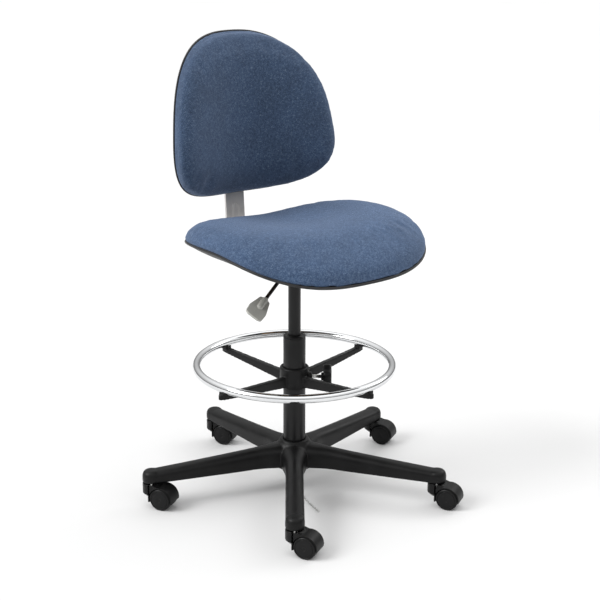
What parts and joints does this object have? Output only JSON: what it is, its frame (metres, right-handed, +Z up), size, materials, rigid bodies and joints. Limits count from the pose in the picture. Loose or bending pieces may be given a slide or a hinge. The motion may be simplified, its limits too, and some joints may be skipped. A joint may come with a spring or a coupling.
{
  "type": "drafting chair",
  "caption": "Drafting chair with an upholstered seat and back, gas lift, footring, five-arm base on twin-wheel casters, and a grounding chain.",
  "frame": {"origin": "on the floor, in the middle of the chair's footprint, close to the column's axis", "axes": "+Z up, -Y the way the sitter looks, -X the sitter's right"},
  "size_m": [0.7025, 0.6872, 1.0173],
  "materials": {
    "black_nylon": "satin, finely pebbled moulded nylon",
    "wheel_nylon": "satin moulded nylon",
    "black_steel": "satin black powder coat",
    "chrome": "bright plate",
    "steel": "zinc-plated, slightly dull",
    "grey_steel": "warm grey powder coat",
    "grey_plastic": "smooth grey grip",
    "blue_fabric": "heathered blue woven upholstery",
    "plywood": "plain"
  },
  "bodies": {
    "base": {"base_star": "black_nylon", "column_tube": "black_steel", "guide_bush": "black_nylon", "thrust_bearing": "steel", "chain_eye": "steel", "drag_chain": "steel"},
    "caster_1": {"caster_1_hood": "black_nylon", "caster_1_stem": "steel", "caster_1_axle": "steel"},
    "caster_1_left": {"caster_1_wheel_left": "wheel_nylon"},
    "caster_1_right": {"caster_1_wheel_right": "wheel_nylon"},
    "caster_2": {"caster_2_hood": "black_nylon", "caster_2_stem": "steel", "caster_2_axle": "steel"},
    "caster_2_left": {"caster_2_wheel_left": "wheel_nylon"},
    "caster_2_right": {"caster_2_wheel_right": "wheel_nylon"},
    "caster_3": {"caster_3_hood": "black_nylon", "caster_3_stem": "steel", "caster_3_axle": "steel"},
    "caster_3_left": {"caster_3_wheel_left": "wheel_nylon"},
    "caster_3_right": {"caster_3_wheel_right": "wheel_nylon"},
    "caster_4": {"caster_4_hood": "black_nylon", "caster_4_stem": "steel", "caster_4_axle": "steel"},
    "caster_4_left": {"caster_4_wheel_left": "wheel_nylon"},
    "caster_4_right": {"caster_4_wheel_right": "wheel_nylon"},
    "caster_5": {"caster_5_hood": "black_nylon", "caster_5_stem": "steel", "caster_5_axle": "steel"},
    "caster_5_left": {"caster_5_wheel_left": "wheel_nylon"},
    "caster_5_right": {"caster_5_wheel_right": "wheel_nylon"},
    "swivel": {"piston_rod": "steel", "retaining_clip": "steel"},
    "lift": {"pressure_cylinder": "black_steel", "mechanism_housing": "black_steel", "lever_pivot_pin": "steel", "seat_pan": "plywood", "seat_screw_1": "steel", "seat_screw_2": "steel", "seat_screw_3": "steel", "seat_screw_4": "steel", "seat_shell": "black_nylon", "seat_trim": "black_nylon", "seat_cushion": "blue_fabric"},
    "button": {"release_button": "steel"},
    "lever": {"lever_rod": "black_steel", "lever_paddle": "grey_plastic"},
    "depth_knob": {"depth_knob": "black_nylon"},
    "back_arm": {"back_upright": "grey_steel"},
    "backrest": {"back_bracket": "black_steel", "back_shell": "black_nylon", "back_trim": "black_nylon", "back_cushion": "blue_fabric"},
    "height_knob": {"height_knob": "black_nylon"},
    "ring_slide": {"footring_bush": "black_nylon"},
    "footring": {"footring_hub": "black_nylon", "footring_ring": "chrome"},
    "clamp_pad": {"clamp_pad": "steel"},
    "clamp_knob": {"clamp_knob": "black_nylon"}
  },
  "joints": [
    {"name": "caster_1_swivel", "type": "hinge", "parent": "base", "child": "caster_1", "pos_m": [-0.21181, -0.27939, 0.058], "axis": [0, 0, 1], "continuous": true},
    {"name": "caster_1_left_roll", "type": "hinge", "parent": "caster_1", "child": "caster_1_left", "pos_m": [-0.19731, -0.30451, 0.02452], "axis": [0.866, 0.5, 0], "continuous": true},
    {"name": "caster_1_right_roll", "type": "hinge", "parent": "caster_1", "child": "caster_1_right", "pos_m": [-0.19731, -0.30451, 0.02452], "axis": [0.866, 0.5, 0], "continuous": true},
    {"name": "caster_2_swivel", "type": "hinge", "parent": "base", "child": "caster_2", "pos_m": [0.17963, -0.28417, 0.058], "axis": [0, 0, 1], "continuous": true},
    {"name": "caster_2_left_roll", "type": "hinge", "parent": "caster_2", "child": "caster_2_left", "pos_m": [0.19413, -0.30929, 0.02452], "axis": [0.866, 0.5, 0], "continuous": true},
    {"name": "caster_2_right_roll", "type": "hinge", "parent": "caster_2", "child": "caster_2_right", "pos_m": [0.19413, -0.30929, 0.02452], "axis": [0.866, 0.5, 0], "continuous": true},
    {"name": "caster_3_swivel", "type": "hinge", "parent": "base", "child": "caster_3", "pos_m": [0.30514, 0.08663, 0.058], "axis": [0, 0, 1], "continuous": true},
    {"name": "caster_3_left_roll", "type": "hinge", "parent": "caster_3", "child": "caster_3_left", "pos_m": [0.31964, 0.06151, 0.02452], "axis": [0.866, 0.5, 0], "continuous": true},
    {"name": "caster_3_right_roll", "type": "hinge", "parent": "caster_3", "child": "caster_3_right", "pos_m": [0.31964, 0.06151, 0.02452], "axis": [0.866, 0.5, 0], "continuous": true},
    {"name": "caster_4_swivel", "type": "hinge", "parent": "base", "child": "caster_4", "pos_m": [-0.00873, 0.32058, 0.058], "axis": [0, 0, 1], "continuous": true},
    {"name": "caster_4_left_roll", "type": "hinge", "parent": "caster_4", "child": "caster_4_left", "pos_m": [0.00577, 0.29546, 0.02452], "axis": [0.866, 0.5, 0], "continuous": true},
    {"name": "caster_4_right_roll", "type": "hinge", "parent": "caster_4", "child": "caster_4_right", "pos_m": [0.00577, 0.29546, 0.02452], "axis": [0.866, 0.5, 0], "continuous": true},
    {"name": "caster_5_swivel", "type": "hinge", "parent": "base", "child": "caster_5", "pos_m": [-0.32822, 0.09436, 0.058], "axis": [0, 0, 1], "continuous": true},
    {"name": "caster_5_left_roll", "type": "hinge", "parent": "caster_5", "child": "caster_5_left", "pos_m": [-0.31372, 0.06925, 0.02452], "axis": [0.866, 0.5, 0], "continuous": true},
    {"name": "caster_5_right_roll", "type": "hinge", "parent": "caster_5", "child": "caster_5_right", "pos_m": [-0.31372, 0.06925, 0.02452], "axis": [0.866, 0.5, 0], "continuous": true},
    {"name": "seat_swivel", "type": "hinge", "parent": "base", "child": "swivel", "pos_m": [-0.0128, -0.0124, 0.2], "axis": [0, 0, 1], "continuous": true},
    {"name": "seat_lift", "type": "slide", "parent": "swivel", "child": "lift", "axis": [0, 0, 1], "range_m": [-0.115, 0.11]},
    {"name": "lever_lift", "type": "hinge", "parent": "lift", "child": "lever", "pos_m": [-0.03878, -0.0274, 0.52906], "axis": [-0.5, 0.866, 0], "range_deg": [0, 5], "stiffness_Nm_per_rad": 12, "springref_deg": -5.73},
    {"name": "button_press", "type": "slide", "parent": "lift", "child": "button", "axis": [0, 0, -1], "range_m": [0, 0.0027]},
    {"name": "depth_slide", "type": "slide", "parent": "lift", "child": "back_arm", "axis": [0, 1, 0], "range_m": [-0.02, 0.03]},
    {"name": "depth_knob_turn", "type": "hinge", "parent": "lift", "child": "depth_knob", "pos_m": [-0.0128, 0.0536, 0.5], "axis": [0, 0, -1], "range_deg": [0, 360]},
    {"name": "back_height", "type": "slide", "parent": "back_arm", "child": "backrest", "axis": [0, 0.0678, 0.9977], "range_m": [-0.02, 0.06]},
    {"name": "height_knob_turn", "type": "hinge", "parent": "backrest", "child": "height_knob", "pos_m": [-0.0128, 0.24708, 0.763], "axis": [0, 1, 0], "range_deg": [0, 360]},
    {"name": "ring_height", "type": "slide", "parent": "base", "child": "ring_slide", "axis": [0, 0, 1], "range_m": [-0.115, 0.03]},
    {"name": "ring_turn", "type": "hinge", "parent": "ring_slide", "child": "footring", "pos_m": [-0.0128, -0.0124, 0.268], "axis": [0, 0, 1], "continuous": true},
    {"name": "clamp_travel", "type": "slide", "parent": "footring", "child": "clamp_pad", "axis": [0.7771, -0.6293, 0], "range_m": [0, 0.0031]},
    {"name": "clamp_turn", "type": "hinge", "parent": "clamp_pad", "child": "clamp_knob", "pos_m": [0.04471, -0.05897, 0.268], "axis": [0.7771, -0.6293, 0], "range_deg": [0, 720]}
  ],
  "couplings": [
    {"joint": "button_press", "follows": "lever_lift", "m_per_rad": 0.03},
    {"joint": "clamp_travel", "follows": "clamp_turn", "m_per_rad": 0.00023873}
  ]
}
